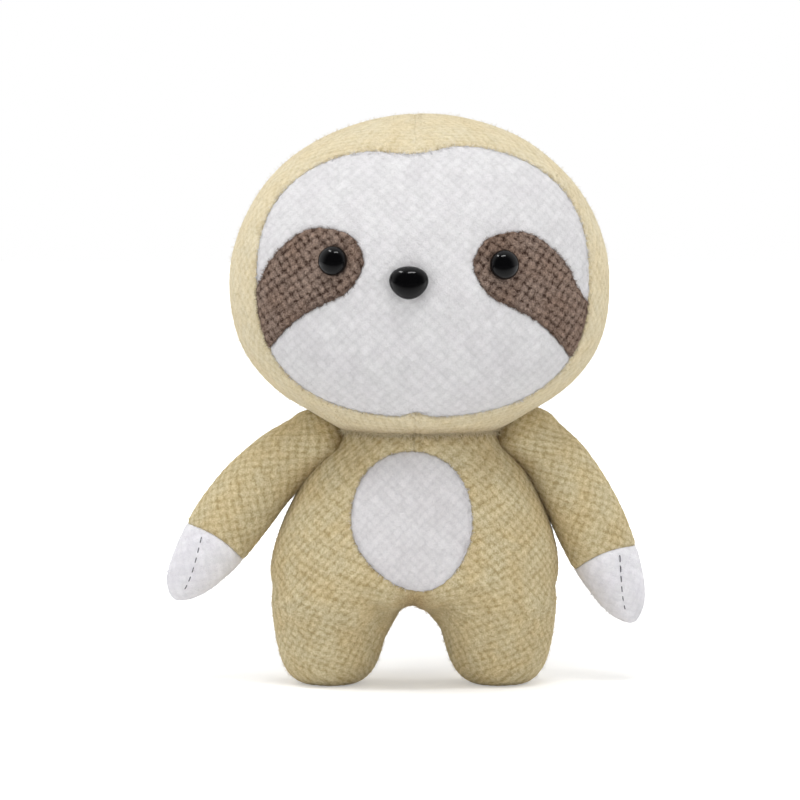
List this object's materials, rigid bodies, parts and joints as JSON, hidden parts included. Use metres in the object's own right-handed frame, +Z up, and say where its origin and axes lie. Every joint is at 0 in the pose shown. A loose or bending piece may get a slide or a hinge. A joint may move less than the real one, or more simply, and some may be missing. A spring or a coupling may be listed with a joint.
{
  "type": "plush sloth",
  "caption": "Small knitted plush sloth that stands on stub legs, with a hooded head that nods and turns and arms that swing and lift.",
  "frame": {"origin": "centre of the bounding box on the floor that the soles stand on", "axes": "+Z up through the head, -Y the way the face looks, +X to the toy's own left"},
  "size_m": [0.142, 0.0876, 0.1711],
  "materials": {
    "beige_knit": "matte",
    "white_knit": "matte",
    "brown_knit": "matte",
    "white_pile": "matte",
    "black_plastic": "gloss",
    "white_plastic": "satin",
    "stuffing": "matte",
    "thread": "matte"
  },
  "bodies": {
    "torso": {"body_stuffing": "stuffing", "body_left": "beige_knit", "body_right": "beige_knit", "belly_patch": "white_knit", "left_leg_cover": "beige_knit", "right_leg_cover": "beige_knit", "left_leg_stuffing": "stuffing", "right_leg_stuffing": "stuffing"},
    "neck": {"neck_seam": "thread"},
    "head": {"head_stuffing": "stuffing", "hood_left": "beige_knit", "hood_right": "beige_knit", "face_panel": "white_knit", "left_eye_patch": "brown_knit", "right_eye_patch": "brown_knit", "left_eye": "black_plastic", "right_eye": "black_plastic", "nose": "black_plastic", "left_eye_washer": "white_plastic", "right_eye_washer": "white_plastic", "nose_washer": "white_plastic"},
    "left_shoulder": {"left_shoulder_seam": "thread"},
    "left_arm": {"left_arm_stuffing": "stuffing", "left_sleeve": "beige_knit", "left_paw": "white_pile"},
    "right_shoulder": {"right_shoulder_seam": "thread"},
    "right_arm": {"right_arm_stuffing": "stuffing", "right_sleeve": "beige_knit", "right_paw": "white_pile"}
  },
  "joints": [
    {"name": "head_nod", "type": "hinge", "parent": "torso", "child": "neck", "pos_m": [0.00388, 0.00447, 0.064], "axis": [1, 0, 0], "range_deg": [-10, 12], "stiffness_Nm_per_rad": 0.3},
    {"name": "head_turn", "type": "hinge", "parent": "neck", "child": "head", "pos_m": [0.00388, 0.00447, 0.064], "axis": [0, 0, 1], "range_deg": [-25, 25], "stiffness_Nm_per_rad": 0.3},
    {"name": "left_arm_swing", "type": "hinge", "parent": "torso", "child": "left_shoulder", "pos_m": [0.04085, 0.00447, 0.074], "axis": [-0.9272, 0, -0.3746], "range_deg": [-45, 60], "stiffness_Nm_per_rad": 0.02},
    {"name": "left_arm_lift", "type": "hinge", "parent": "left_shoulder", "child": "left_arm", "pos_m": [0.04085, 0.00447, 0.074], "axis": [0, -1, 0], "range_deg": [0, 60], "stiffness_Nm_per_rad": 0.02},
    {"name": "right_arm_swing", "type": "hinge", "parent": "torso", "child": "right_shoulder", "pos_m": [-0.03159, 0.00447, 0.074], "axis": [-0.8339, 0, 0.5519], "range_deg": [-45, 60], "stiffness_Nm_per_rad": 0.02},
    {"name": "right_arm_lift", "type": "hinge", "parent": "right_shoulder", "child": "right_arm", "pos_m": [-0.03159, 0.00447, 0.074], "axis": [0, 1, 0], "range_deg": [0, 50], "stiffness_Nm_per_rad": 0.02}
  ]
}
